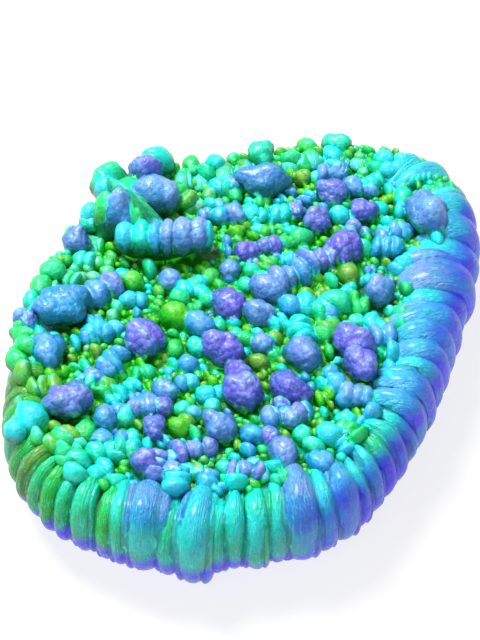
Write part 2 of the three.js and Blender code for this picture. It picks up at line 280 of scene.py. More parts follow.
class Skin:
    """Makes closed swellings with bmesh, each vertex with its tone, rise and place along its pleat."""

    LAYERS = ("tone", "rise", "across", "along", "girth", "whole")

    def __init__(self, seed: int) -> None:
        """Start with a seed, so that every run grows the same coral."""
        self.rng = random.Random(seed)
        self.count = 0

    def blank(self) -> tuple[bmesh.types.BMesh, dict[str, bmesh.types.BMLayerItem]]:
        """Start an empty form that has every layer."""
        bm = bmesh.new()
        return bm, {name: bm.verts.layers.float.new(name) for name in self.LAYERS}

    def fineness(self, radius: float) -> int:
        """Choose how finely a ball is divided, by its size."""
        return 2 if radius < 1.1 else 3 if radius < 2.6 else 4

    def draw(self, low: float, high: float) -> float:
        """Draw the next random number between two others."""
        return self.rng.uniform(low, high)

    def ball(
        self,
        centre: Vector,
        half: Vector,
        tone: float,
        turn: Matrix | None = None,
        habit: Habit = Habit.SMOOTH,
        lobes: int = 12,
        fineness: int | None = None,
        cup: float = 0.0,
    ) -> Form:
        """Make one ellipsoid swelling.

        Args:
            centre: its middle.
            half: its half sizes before it is turned.
            tone: its place on the colour ramps.
            turn: how it is turned, or None.
            habit: how its skin is shaped.
            lobes: number of lobes on a lobed one.
            fineness: times the ball is divided, or None to choose by size.
            cup: how far its rim is bent along its first axis, as a share of its size.

        Returns:
            The finished form.
        """
        size = sum(half) / 3
        level = fineness if fineness is not None else self.fineness(size)
        bm, layers = self.blank()
        bmesh.ops.create_icosphere(bm, subdivisions=level, radius=1)
        seat = Vector((self.draw(-90, 90), self.draw(-90, 90), self.count * 3.1))
        bumps = self.lobe_table(lobes) if habit is Habit.LOBED else []
        turning = turn or Matrix.Identity(3)
        for vert in bm.verts:
            way = vert.co.normalized()
            swell = 1 + 0.14 * noise.noise(way * 1.2 + seat) + 0.05 * noise.noise(way * 3.5 + seat)
            if bumps:
                swell = (swell + 0.045 * noise.noise(way * 7 + seat)) * self.lobed(way, bumps)
            local = Vector((way.x * half.x, way.y * half.y, way.z * half.z)) * swell
            local.x += cup * size * (way.y * way.y + way.z * way.z)
            placed = turning @ local
            vert[layers["tone"]] = tone
            vert[layers["rise"]] = placed.z / max(half)
            vert[layers["girth"]] = size
            vert.co = placed + centre
        return self.close(bm, centre, max(half) * 1.16)

    def lobe_table(self, count: int) -> list[tuple[Vector, float]]:
        """Spread lobes over the upper part of a unit ball.

        Args:
            count: the number of lobes.

        Returns:
            The middle and the radius of each lobe.
        """
        golden = math.pi * (3 - math.sqrt(5))
        start = self.draw(0, math.tau)
        table = []
        for i in range(count):
            z = 1 - 1.3 * (i + 0.5) / count
            ring = math.sqrt(max(0.0, 1 - z * z))
            angle = start + golden * i + self.draw(-0.25, 0.25)
            way = Vector((ring * math.cos(angle), ring * math.sin(angle), z))
            table.append((way * self.draw(0.4, 0.6), self.draw(0.36, 0.58)))
        return table

    def lobed(self, way: Vector, bumps: list[tuple[Vector, float]]) -> float:
        """Find how far a unit ball with lobes reaches in one direction.

        Args:
            way: the direction, of length one.
            bumps: the middle and the radius of each lobe.

        Returns:
            The distance from the middle to the skin.
        """
        furthest = 0.86
        for middle, radius in bumps:
            ahead = way.dot(middle)
            inside = ahead * ahead - middle.length_squared + radius * radius
            if inside > 0:
                furthest = max(furthest, ahead + math.sqrt(inside))
        return furthest

    def worm(
        self,
        path: Sequence[Vector],
        side: Vector,
        widths: tuple[float, float],
        thick: float,
        tone: float,
        lean: float = 0.0,
        rings: int = 30,
        sectors: int = 20,
    ) -> Form:
        """Draw a ball out along a path into a long pleat.

        Args:
            path: the points that the pleat's middle follows, from its inner end to under the rim.
            side: the level direction across the pleat.
            widths: half widths at the inner end and at the outer end.
            thick: half thickness.
            tone: its place on the colour ramps.
            lean: how far its section is turned sideways, in radians.
            rings: divisions along it.
            sectors: divisions round it.

        Returns:
            The finished form.
        """
        bm, layers = self.blank()
        bmesh.ops.create_uvsphere(bm, u_segments=sectors, v_segments=rings, radius=1)
        seat = Vector((self.count * 7.3, self.draw(-50, 50), self.draw(-50, 50)))
        grooves = self.rng.choice((1.4, 2, 2.6, 3.2))
        for vert in bm.verts:
            share = math.acos(min(1.0, max(-1.0, vert.co.z))) / math.pi
            middle, way = along_spline(path, share)
            out = side.cross(way)
            half_width = widths[0] + (widths[1] - widths[0]) * smoothstep(0.1, 0.75, share)
            ring = max(1e-6, math.hypot(vert.co.x, vert.co.y))
            fuller = ring ** 0.4 / ring
            x, y = vert.co.x * fuller, vert.co.y * fuller
            spot = Vector((x * 1.2, share * 5.0, 0)) + seat
            swell = 1 + 0.12 * noise.noise(spot)
            groove = 0.045 * math.cos(x * math.pi * grooves) if y >= 0 else 0.0
            vert[layers["across"]] = x * half_width + self.count * ACROSS_STEP
            vert[layers["along"]] = share * ALONG_END
            x, y = x * half_width * swell, y * thick * (swell + groove)
            x, y = x * math.cos(lean) - y * math.sin(lean), x * math.sin(lean) + y * math.cos(lean)
            vert[layers["tone"]] = tone - max(0.0, tone - Tone.CYAN.value) * smoothstep(0.3, 0.7, share)
            vert[layers["rise"]] = 0.5 + 0.5 * math.cos(share * math.pi * 1.15)
            vert[layers["girth"]] = thick
            vert.co = middle + side * x + out * y
        centre = sum((point for point in path), Vector()) / len(path)
        return self.close(bm, centre, max((point - centre).length for point in path) + thick)

    def close(self, bm: bmesh.types.BMesh, centre: Vector, reach: float) -> Form:
        """Turn a finished bmesh into a form, with its faces outward and its vertices marked whole.

        Args:
            bm: the closed skin, which is freed.
            centre: the middle of a ball that holds it.
            reach: the radius of that ball.

        Returns:
            The form.
        """
        bmesh.ops.recalc_face_normals(bm, faces=bm.faces)
        whole = bm.verts.layers.float["whole"]
        for vert in bm.verts:
            vert[whole] = 1.0
        mesh = bpy.data.meshes.new(f"form_{self.count}")
        bm.to_mesh(mesh)
        bm.free()
        self.count += 1
        return Form(mesh, centre, reach)


class Fusion:
    """Joins closed forms that grow into each other into one closed mesh."""

    def __init__(self, name: str) -> None:
        """Name the piece that the forms become."""
        self.name = name
        self.groups: list[list[Form]] = []

    def add_apart(self, forms: Iterable[Form]) -> None:
        """Take forms that don't touch each other as a group of their own."""
        self.groups.append(list(forms))

    def add_loose(self, forms: Iterable[Form]) -> None:
        """Sort forms into as few groups as it takes for no two in a group to touch.

        Args:
            forms: the forms, in any order.
        """
        bins: list[tuple[list[Form], list[tuple[float, float, float, float]]]] = []
        for form in sorted(forms, key=lambda item: -item.reach):
            spot = (form.centre.x, form.centre.y, form.centre.z, form.reach)
            for members, spots in bins:
                table = np.array(spots)
                gaps = np.linalg.norm(table[:, :3] - spot[:3], axis=1) - table[:, 3] - form.reach
                if gaps.min() > 0.02:
                    members.append(form)
                    spots.append(spot)
                    break
            else:
                bins.append(([form], [spot]))
        self.groups.extend(members for members, _ in bins)

    @staticmethod
    def gathered(forms: Sequence[Form], name: str) -> bpy.types.Object:
        """Put the meshes of a group side by side in one object.

        Args:
            forms: the group.
            name: the object's name.

        Returns:
            The object, linked to the scene.
        """
        bm = bmesh.new()
        for layer in Skin.LAYERS:
            bm.verts.layers.float.new(layer)
        for form in forms:
            bm.from_mesh(form.mesh)
            bpy.data.meshes.remove(form.mesh)
        mesh = bpy.data.meshes.new(name)
        bm.to_mesh(mesh)
        bm.free()
        piece = bpy.data.objects.new(name, mesh)
        bpy.context.scene.collection.objects.link(piece)
        return piece

    def fuse(self) -> bpy.types.Object:
        """Join the groups one after another.

        Returns:
            The fused piece, still in millimetres.
        """
        piece = self.gathered(self.groups[0], self.name)
        for number, group in enumerate(self.groups[1:]):
            other = self.gathered(group, f"{self.name}_group_{number}")
            union = piece.modifiers.new("grown_together", "BOOLEAN")
            union.operation = "UNION"
            union.solver = "MANIFOLD"
            union.object = other
            self.evaluated(piece)
            LOG.info("%s: group %d joined, %d vertices", self.name, number, len(piece.data.vertices))
            spent = other.data
            bpy.data.objects.remove(other)
            bpy.data.meshes.remove(spent)
        self.mend(piece.data)
        self.thin(piece)
        piece.data.name = self.name
        return piece

    @staticmethod
    def evaluated(piece: bpy.types.Object) -> None:
        """Give a piece the mesh that its modifiers make, and drop the modifiers.

        Args:
            piece: an object of the scene.
        """
        graph = bpy.context.evaluated_depsgraph_get()
        finished = bpy.data.meshes.new_from_object(piece.evaluated_get(graph))
        piece.modifiers.clear()
        old, piece.data = piece.data, finished
        bpy.data.meshes.remove(old)

    @staticmethod
    def mend(mesh: bpy.types.Mesh) -> None:
        """Give the vertices that joining made the marks of the skin beside them.

        Args:
            mesh: the fused mesh, where such vertices have no marks.
        """
        count = len(mesh.vertices)
        ends = np.empty(len(mesh.edges) * 2, dtype=np.int64)
        mesh.edges.foreach_get("vertices", ends)
        a, b = ends.reshape(-1, 2).T
        marks = {}
        for name in Skin.LAYERS:
            marks[name] = np.empty(count, dtype=np.float32)
            mesh.attributes[name].data.foreach_get("value", marks[name])
        sure = marks["whole"] > 0.999
        LOG.info("%s: %d of %d vertices mended", mesh.name, count - int(sure.sum()), count)
        for _ in range(MEND_PASSES):
            weight = np.bincount(a, sure[b], count) + np.bincount(b, sure[a], count)
            fresh = ~sure & (weight > 0)
            for name in Skin.LAYERS[:-1]:
                value = marks[name]
                total = np.bincount(a, value[b] * sure[b], count)
                total += np.bincount(b, value[a] * sure[a], count)
                value[fresh] = total[fresh] / weight[fresh]
            sure |= fresh
        for name in Skin.LAYERS:
            mesh.attributes[name].data.foreach_set("value", marks[name])

    def thin(self, piece: bpy.types.Object) -> None:
        """Take out the slivers that joining leaves, down to a number of triangles.

        Args:
            piece: the fused piece.
        """
        piece.data.calc_loop_triangles()
        count = len(piece.data.loop_triangles)
        LOG.info("%s: %d triangles fused", self.name, count)
        if count > TRIANGLE_LIMIT:
            collapse = piece.modifiers.new("thinned", "DECIMATE")
            collapse.ratio = TRIANGLE_LIMIT / count
            self.evaluated(piece)


@dataclass
class Rim:
    """The thick roll round the plate, with its pleats, and the plate under it."""

    # Over the rim: share of the way from its inner end to its foot, height
    PROFILE = ((0, BED_HEIGHT), (0.4, CREST_HEIGHT - 2.2), (0.7, 22), (0.9, 18), (1, BELLY_HEIGHT))
    # The plate: share of the way from the middle to the rim's foot, height
    SECTION = (
        (0.0, 0.0), (0.3, 0.0), (CUT_SHARE - 0.02, 0.0), (CUT_SHARE, 0.4), (0.82, 3.2), (0.9, 7),
        (0.93, BELLY_HEIGHT), (0.9, 18), (0.86, 20.6), (0.8, 20.8), (0.72, BED_HEIGHT),
        (0.5, BED_HEIGHT), (0.25, BED_HEIGHT), (0.0, BED_HEIGHT),
    )

    skin: Skin
    thick: float = 3.9
    fill: float = 0.62
    shells: int = 2
    shingle_lean: float = 0.3
    steps: int = 144
    rays: list[tuple[float, Vector, Vector]] = field(default_factory=list)

    def __post_init__(self) -> None:
        """Sort the pleats' feet and inner ends by the angle they lie at."""
        for foot_x, foot_y, inner_x, inner_y, _ in PLEATS:
            angle = math.atan2(foot_y, foot_x) % math.tau
            self.rays.append((angle, Vector((foot_x, foot_y)), Vector((inner_x, inner_y))))
        self.rays.sort(key=lambda ray: ray[0])

    def ray(self, angle: float) -> tuple[Vector, Vector]:
        """Find the foot and the inner end of the rim in one direction from the middle.

        Args:
            angle: the direction in plan, in radians.

        Returns:
            The plan places of the foot and the inner end.
        """
        angle %= math.tau
        after = next((i for i, ray in enumerate(self.rays) if ray[0] > angle), 0)
        a0, foot0, inner0 = self.rays[after - 1]
        a1, foot1, inner1 = self.rays[after]
        share = ((angle - a0) % math.tau) / ((a1 - a0) % math.tau)
        return foot0.lerp(foot1, share), inner0.lerp(inner1, share)

    def ground(self, x: float, y: float) -> tuple[float, float]:
        """Find the height of the plate's skin over a place in plan.

        Args:
            x: place in millimetres.
            y: place in millimetres.

        Returns:
            The height, and how far the place is over the rim, from 0 on the bed to 1 at the foot.
        """
        foot, inner = self.ray(math.atan2(y, x))
        near, far = inner.length, foot.length
        share = (math.hypot(x, y) - near) / (far - near)
        if share <= 0:
            return BED_HEIGHT, 0.0
        for (s0, z0), (s1, z1) in zip(self.PROFILE, self.PROFILE[1:]):
            if share <= s1:
                return z0 + (z1 - z0) * (share - s0) / (s1 - s0), share
        return BELLY_HEIGHT, 1.0

    def body(self) -> Form:
        """Turn the plate's section round its middle and stretch it to the outline.

        Returns:
            The plate.
        """
        bm, layers = self.skin.blank()
        verts = [bm.verts.new((share, 0, z)) for share, z in self.SECTION]
        edges = [bm.edges.new(pair) for pair in zip(verts, verts[1:])]
        bmesh.ops.spin(
            bm, geom=verts + edges, cent=(0, 0, 0), axis=(0, 0, 1), angle=math.tau,
            steps=self.steps, use_merge=True,
        )
        bmesh.ops.remove_doubles(bm, verts=bm.verts, dist=1e-5)
        for vert in bm.verts:
            share = math.hypot(vert.co.x, vert.co.y)
            foot, _ = self.ray(math.atan2(vert.co.y, vert.co.x))
            vert.co.x, vert.co.y = foot.x * share, foot.y * share
            vert[layers["tone"]] = Tone.GREEN.value
            vert[layers["rise"]] = -0.6
        bmesh.ops.triangulate(bm, faces=bm.faces)
        return self.skin.close(bm, Vector((0, 0, 10)), 75)

    def pleat(self, number: int) -> list[Form]:
        """Make one pleat, from its inner end over the crest and under the rim, and its nested shells.

        Args:
            number: its place in the list of pleats.

        Returns:
            The pleat and then its shells.
        """
        foot_x, foot_y, inner_x, inner_y, tone = PLEATS[number]
        before, after = PLEATS[number - 1], PLEATS[(number + 1) % len(PLEATS)]
        foot, inner = Vector((foot_x, foot_y)), Vector((inner_x, inner_y))
        reach = (foot - inner).length
        out = (foot - inner).normalized()
        side = Vector((-out.y, out.x, 0))
        spread_out = (Vector(after[:2]) - Vector(before[:2])).length / 2
        spread_in = (Vector(after[2:4]) - Vector(before[2:4])).length / 2
        swollen = tone in (Tone.BLUE, Tone.LAVENDER)
        bold = self.skin.draw(1.16, 1.3) if swollen else self.skin.draw(0.8, 1)
        widths = spread_in * self.fill * bold, spread_out * self.fill * bold
        steep = smoothstep(15, 45, foot_x) * smoothstep(-60, -30, foot_y) * smoothstep(60, 40, foot_y)
        lean = self.shingle_lean * steep + self.skin.draw(-0.08, 0.08)
        crest = CREST_HEIGHT + (0.8 if swollen else self.skin.draw(-2.2, 0.0))
        main_longer = self.skin.draw(-2.5, 3.5) * smoothstep(9, 14, reach)
        forms = []
        for shell in range(self.shells + 1):
            t = self.thick * (1 - 0.04 * shell) * (1.08 if swollen else 1.0)
            sideways = 0.0 if shell == 0 else (0.72 if shell == 1 else -0.66) * self.skin.draw(0.8, 1.15)
            slim = 1.0 if shell == 0 else self.skin.draw(0.44, 0.64)
            longer = main_longer if shell == 0 else self.skin.draw(-1.6, 1.6)
            drop = 0.0 if shell == 0 else self.skin.draw(0.7, 1.9)
            top = crest - t - drop
            # Each station lies further out than the one before, or the pleat would cross itself
            stations = (
                (max(reach * 0.98 + longer, t + 6.5), BED_HEIGHT - 1.2, widths[0]),
                (max(reach * 0.8 + longer * 0.7, t + 5), top - 0.8, widths[0]),
                (max(reach * 0.52, t + 3.8), top, widths[0]),
                (t + 1.4 + drop, top - 2.2, widths[1]),
                (t + drop, BELLY_HEIGHT, widths[1]),
                (t + 2.2, BELLY_HEIGHT - 6, widths[1]),
                (t + 9, 3.6, widths[1]),
            )
            path = []
            for inward, z, spread in stations:
                place = foot - out * inward
                path.append(Vector((place.x, place.y, z)) + side * (sideways * spread))
            hue = tone.value + (0.0 if shell == 0 else self.skin.draw(-0.12, 0.08))
            shell_widths = widths[0] * slim, widths[1] * slim
            forms.append(self.skin.worm(path, side, shell_widths, t, hue, lean))
        return forms

    def grow(self) -> bpy.types.Object:
        """Fuse the plate and its pleats.

        Returns:
            The fused rim, in millimetres.
        """
        fusion = Fusion("coral_rim")
        fusion.add_apart([self.body()])
        pleats = [self.pleat(number) for number in range(len(PLEATS))]
        even = len(pleats) - len(pleats) % 3
        for shell in range(self.shells + 1):
            for start in range(3):
                fusion.add_apart(pleat[shell] for pleat in pleats[start:even:3])
            for pleat in pleats[even:]:
                fusion.add_apart([pleat[shell]])
        return fusion.fuse()


@dataclass
class Bed:
    """The knobs, rows of lenses, raised fold and small beads that cover the plate."""

    skin: Skin
    rim: Rim
    bead_sizes: tuple[float, float] = (0.85, 3.2)
    rim_limits: tuple[float, float] = (0.2, 0.75)
    rim_bead: float = 1.7
    crowding: float = 0.48
    run_radius: float = 1.45
    toe_share: float = 0.8
    swelling: float = 1.1
    tries: int = 17000
    row_direction: float = 38.0
    forms: list[Form] = field(default_factory=list)
    taken: list[tuple[float, float, float]] = field(default_factory=list)

    def knob(self, x: float, y: float, radius: float, tone: Tone, habit: Habit) -> None:
        """Add one round lump that stands on the skin below it.

        Args:
            x: place in plan.
            y: place in plan.
            radius: its radius before all of them are swollen.
            tone: its colour family.
            habit: how its skin is shaped.
        """
        radius *= self.swelling
        ground, over = self.rim.ground(x, y)
        centre = Vector((x, y, ground + radius * (KNOB_SINK if over < 0.2 else 0.1)))
        half = Vector((self.skin.draw(1, 1.22), self.skin.draw(0.85, 1), 1.08)) * radius
        turn = Matrix.Rotation(self.drift(), 3, "Z")
        lobes = int(6 + radius)
        self.forms.append(self.skin.ball(centre, half, tone.value, turn, habit, lobes))
        self.taken.append((x, y, radius * 0.9))

    def drift(self) -> float:
        """Choose the direction, in radians, that a lump is drawn out in: across the rows of the bed."""
        return math.radians(self.row_direction + 90) + self.skin.draw(-0.6, 0.6)

    def knobs(self) -> None:
        """Add the listed lumps."""
        for x, y, radius, tone in LOBED_KNOBS:
            self.knob(x, y, radius, tone, Habit.LOBED)
        for x, y, radius, tone in SMOOTH_KNOBS:
            self.knob(x, y, radius, tone, Habit.SMOOTH)

    def rows(self) -> None:
        """Add the rows of stacked lenses, each thin along its row."""
        for x0, y0, x1, y1, count, half, tone in LENS_ROWS:
            turn = Matrix.Rotation(math.atan2(y1 - y0, x1 - x0), 3, "Z")
            pitch = math.hypot(x1 - x0, y1 - y0) / (count - 1)
            for i in range(count):
                share = i / (count - 1)
                x, y = x0 + (x1 - x0) * share, y0 + (y1 - y0) * share
                x, y = x + self.skin.draw(-0.6, 0.6), y + self.skin.draw(-0.6, 0.6)
                size = half * self.skin.draw(0.74, 1.1)
                tip = Matrix.Rotation(self.skin.draw(0.05, 0.4), 3, "Y")
                swing = Matrix.Rotation(self.skin.draw(-0.25, 0.25), 3, "Z")
                centre = Vector((x, y, BED_HEIGHT + size * KNOB_SINK * self.skin.draw(0.8, 1.15)))
                shape = Vector((pitch * self.skin.draw(0.6, 0.85), size, size * 1.08))
                hue = tone.value + self.skin.draw(-0.09, 0.07)
                bend = self.skin.draw(-0.3, -0.15)
                turning = turn @ swing @ tip
                self.forms.append(self.skin.ball(centre, shape, hue, turning, fineness=4, cup=bend))
                self.taken.append((x, y, size * 0.75))

    def fold(self) -> None:
        """Add the raised fold and the widest lumps."""
        for x, y, z, across, deep, high, lean, tone, habit in FOLD:
            turn = Matrix.Rotation(math.radians(lean), 3, "X")
            shape = Vector((across, deep, high))
            self.forms.append(self.skin.ball(Vector((x, y, z)), shape, tone.value, turn, habit, 18))
            self.taken.append((x, y, min(across, deep) * 0.9))
        crest = [Vector(point) for point in CREST]
        side = (crest[-1] - crest[0]).cross(Vector((0, 0, 1))).normalized()
        self.forms.append(self.skin.worm(crest, side, (1.2, 1.5), 4.2, Tone.CYAN.value - 0.03))
        for x, y, z, along, deep, high, tone in SAUSAGE:
            shape = Vector((along, deep, high))
            self.forms.append(self.skin.ball(Vector((x, y, z)), shape, tone.value, fineness=4))
            self.taken.append((x, y, deep * 0.8))

    def bead_tone(self, over: float, radius: float) -> float:
        """Choose the tone of a bead by where it sits and how large it is.

        Args:
            over: how far it is over the rim.
            radius: its radius.

        Returns:
            Its place on the colour ramps.
        """
        draw = self.skin.rng.random()
        if over > 0.15:
            return Tone.TEAL.value + (0.1 if draw > 0.8 else -0.04) + self.skin.draw(-0.05, 0.05)
        large = smoothstep(1.3, 2.1, radius)
        if draw < 0.5 - 0.35 * large:
            return Tone.LIME.value + self.skin.draw(0, 0.1)
        if draw < 0.85 - 0.4 * large:
            return Tone.GREEN.value + self.skin.draw(-0.07, 0.1)
        if draw < 0.95 - 0.25 * large:
            return Tone.TEAL.value + self.skin.draw(-0.04, 0.14)
        return Tone.BLUE.value + self.skin.draw(-0.1, 0.14)

    def lens(self, x: float, y: float, radius: float, heading: float, tone: float) -> None:
        """Add one cupped lens that leans along its row.

        Args:
            x: place in plan.
            y: place in plan.
            radius: half its height and width.
            heading: direction of its row, in radians.
            tone: its place on the colour ramps.
        """
        ground, _ = self.rim.ground(x, y)
        turn = Matrix.Rotation(heading + self.skin.draw(-0.25, 0.25), 3, "Z")
        tip = Matrix.Rotation(self.skin.draw(0.05, 0.45), 3, "Y")
        half = Vector((radius * self.skin.draw(0.5, 0.8), radius, radius * self.skin.draw(0.95, 1.2)))
        centre = Vector((x, y, ground + radius * self.skin.draw(0.15, 0.55)))
        bend = self.skin.draw(-0.32, -0.1)
        self.forms.append(self.skin.ball(centre, half, tone, turn @ tip, cup=bend))

    def beads(self) -> None:
        """Scatter short runs of lenses and then beads, wherever there is room between the other forms."""
        table = np.array([list(spot) for spot in self.taken])
        small, large = self.bead_sizes
        near, far = self.rim_limits
        added = 0
        for attempt in range(self.tries):
            x, y = self.skin.draw(-58, 62), self.skin.draw(-53, 62)
            ground, over = self.rim.ground(x, y)
            limit = far if y > 40 or (x < -38 and y > -15) else near
            if over > limit:
                continue
            done = attempt / self.tries
            radius = small + (large - small) * self.skin.rng.random() ** 0.8 * (1 - done) ** 1.6
            if over > near:
                radius = min(radius, self.rim_bead)
            gaps = np.hypot(table[:, 0] - x, table[:, 1] - y) - table[:, 2]
            if gaps.min() < radius * self.crowding:
                continue
            tone = self.bead_tone(over, radius)
            if radius < self.run_radius:
                lift = self.skin.draw(0.1, 0.6) * radius
                half = Vector([self.skin.draw(*span) for span in ((0.8, 1.4), (0.8, 1), (0.9, 1.3))])
                turn = Matrix.Rotation(self.drift(), 3, "Z")
                self.forms.append(self.skin.ball(Vector((x, y, ground + lift)), half * radius, tone, turn))
                table = np.vstack([table, (x, y, radius * 0.68)])
                added += 1
                continue
            heading = math.radians(self.row_direction) + self.skin.draw(-0.5, 0.5)
            for place in range(self.skin.rng.choice((1, 2, 3, 4))):
                step = radius * self.skin.draw(0.75, 0.95)
                if place:
                    x, y = x + math.cos(heading) * step, y + math.sin(heading) * step
                    gaps = np.hypot(table[:-place, 0] - x, table[:-place, 1] - y) - table[:-place, 2]
                    if gaps.min() < radius * 0.3 or self.rim.ground(x, y)[1] > limit:
                        break
                hue = min(1.0, max(0.02, tone + self.skin.draw(-0.06, 0.06)))
                self.lens(x, y, radius * self.skin.draw(0.85, 1.1), heading, hue)
                table = np.vstack([table, (x, y, radius * 0.75)])
                added += 1
        LOG.info("beads and lenses: %d", added)

    def toes(self) -> None:
        """Add lumps where the pleats run out on the bed, to break the line of their ends."""
        for foot_x, foot_y, inner_x, inner_y, tone in PLEATS:
            if self.skin.rng.random() > self.toe_share:
                continue
            out = Vector((foot_x - inner_x, foot_y - inner_y)).normalized()
            inward = self.skin.draw(-2.6, 2)
            sideways = self.skin.draw(-1.2, 1.2)
            x = inner_x - out.x * inward - out.y * sideways
            y = inner_y - out.y * inward + out.x * sideways
            radius = self.skin.draw(2.0, 3.5)
            hue = tone.value + self.skin.draw(-0.12, 0.12)
            heading = math.atan2(out.y, out.x)
            for _ in range(self.skin.rng.choice((1, 1, 2, 3))):
                self.lens(x, y, radius, heading, hue)
                self.taken.append((x, y, radius * 0.7))
                x, y = x - out.x * radius * 0.8, y - out.y * radius * 0.8

    def floor(self) -> Form:
        """Make the thin bumpy slab that the small beads grow from.

        Returns:
            The slab.
        """
        bm, layers = self.skin.blank()
        bmesh.ops.create_icosphere(bm, subdivisions=6, radius=1)
        for vert in bm.verts:
            across = math.hypot(vert.co.x, vert.co.y)
            _, inner = self.rim.ray(math.atan2(vert.co.y, vert.co.x))
            place = Vector((inner.x, inner.y)) * (1.04 * min(1.0, across))
            lump = abs(noise.noise(Vector((place.x, place.y, 3)) * 0.42))
            lump += 0.6 * abs(noise.noise(Vector((place.x, place.y, 9)) * 0.9))
            upper = vert.co.z > 0
            vert[layers["tone"]] = Tone.LIME.value + 0.12 * noise.noise(Vector((place.x, place.y, 0)) * 0.1)
            vert[layers["rise"]] = -0.55 + 1.1 * lump
            vert[layers["girth"]] = 1.0
            height = BED_HEIGHT - 0.9 + vert.co.z * 0.8 + (1.7 * lump * vert.co.z if upper else 0.0)
            vert.co = Vector((place.x, place.y, height))
        return self.skin.close(bm, Vector((0, 0, BED_HEIGHT)), 70)

    def grow(self) -> bpy.types.Object:
        """Fuse everything that stands on the plate.

        Returns:
            The fused bed, in millimetres.
        """
        self.knobs()
        self.rows()
        self.fold()
        self.toes()
        self.beads()
        fusion = Fusion("coral_bed")
        fusion.add_apart([self.floor()])
        fusion.add_loose(self.forms)
        LOG.info("bed forms: %d in %d groups", len(self.forms), len(fusion.groups))
        return fusion.fuse()


@dataclass(frozen=True)
class Relief:
    """Marks creases and outer undersides on a fused skin, for its finish to read."""

    crease_blur: int = 1
    crease_gain: float = 2.2
    undersides: float = 1.0
    violet_height: float = 11.5
    violet_fade: float = 4.5
    steep_lift: float = 5.0
    front_lift: float = 4.0
    violet_start: float = 0.31
    violet_rise: float = 0.2

    def mark(self, piece: bpy.types.Object) -> None:
        """Write the crease and under attributes of a piece.

        Args:
            piece: a fused piece, still in millimetres.
        """
        mesh = piece.data
        place = self.vectors(mesh, "co")
        normal = self.vectors(mesh, "normal")
        self.write(mesh, "crease", self.creases(mesh, place, normal))
        self.write(mesh, "under", np.clip(self.under(mesh, place, normal) * self.undersides, 0, 1))

    @staticmethod
    def vectors(mesh: bpy.types.Mesh, name: str) -> np.ndarray:
        """Read one vector of each vertex, as rows of three.

        Args:
            mesh: the mesh to read.
            name: what is read, such as co or normal.

        Returns:
            One row for each vertex.
        """
        values = np.empty(len(mesh.vertices) * 3)
        mesh.vertices.foreach_get(name, values)
        return values.reshape(-1, 3)

    def creases(self, mesh: bpy.types.Mesh, place: np.ndarray, normal: np.ndarray) -> np.ndarray:
        """Find how deep in a crease each vertex lies, from how its edges rise along its normal.

        Args:
            mesh: the fused mesh.
            place: where its vertices are.
            normal: their normals.

        Returns:
            0 on open skin to 1 in a sharp crease, for each vertex.
        """
        count = len(mesh.vertices)
        ends = np.empty(len(mesh.edges) * 2, dtype=np.int64)
        mesh.edges.foreach_get("vertices", ends)
        a, b = ends.reshape(-1, 2).T
        way = place[b] - place[a]
        way /= np.maximum(np.linalg.norm(way, axis=1), 1e-4)[:, None]
        total = np.bincount(a, np.einsum("ij,ij->i", way, normal[a]), count)
        total -= np.bincount(b, np.einsum("ij,ij->i", way, normal[b]), count)
        degree = np.maximum(np.bincount(a, minlength=count) + np.bincount(b, minlength=count), 1)
        hollow = np.clip(total / degree * self.crease_gain, 0, 1)
        for _ in range(self.crease_blur):
            spread = np.bincount(a, hollow[b], count) + np.bincount(b, hollow[a], count)
            hollow = np.maximum(hollow * 0.8, 0.5 * hollow + 0.5 * spread / degree)
        return hollow

    def under(self, mesh: bpy.types.Mesh, place: np.ndarray, normal: np.ndarray) -> np.ndarray:
        """Find how violet each vertex is: low on the rim, and higher up on its steep right side.

        Args:
            mesh: the fused mesh.
            place: where its vertices are.
            normal: their normals.

        Returns:
            0 for none to 1 and above for full, for each vertex.
        """
        x, y, z = place.T
        steep = self.soft(np.clip((x - 4) / 24, 0, 1) * np.clip((52 - y) / 20, 0, 1))
        front_left = np.clip((4 - x) / 10, 0, 1) * np.clip((x + 52) / 10, 0, 1)
        front_left *= np.clip((-34 - y) / 10, 0, 1)
        height = self.violet_height + self.steep_lift * steep + self.front_lift * front_left
        low = np.clip((height - z) / self.violet_fade, 0, 1) * np.clip(0.87 - normal[:, 2], 0, 1) * 1.8
        along = np.empty(len(place), dtype=np.float32)
        mesh.attributes["along"].data.foreach_get("value", along)
        outward = (along / ALONG_END - self.violet_start) / self.violet_rise
        return np.maximum(low, steep * self.soft(outward))

    @staticmethod
    def soft(share: np.ndarray) -> np.ndarray:
        """Rise softly from 0 to 1, and stay there."""
        share = np.clip(share, 0, 1)
        return share * share * (3 - 2 * share)

    @staticmethod
    def write(mesh: bpy.types.Mesh, name: str, values: np.ndarray) -> None:
        """Store one number for each vertex."""
        layer = mesh.attributes.new(name, "FLOAT", "POINT")
        layer.data.foreach_set("value", values.astype(np.float32))


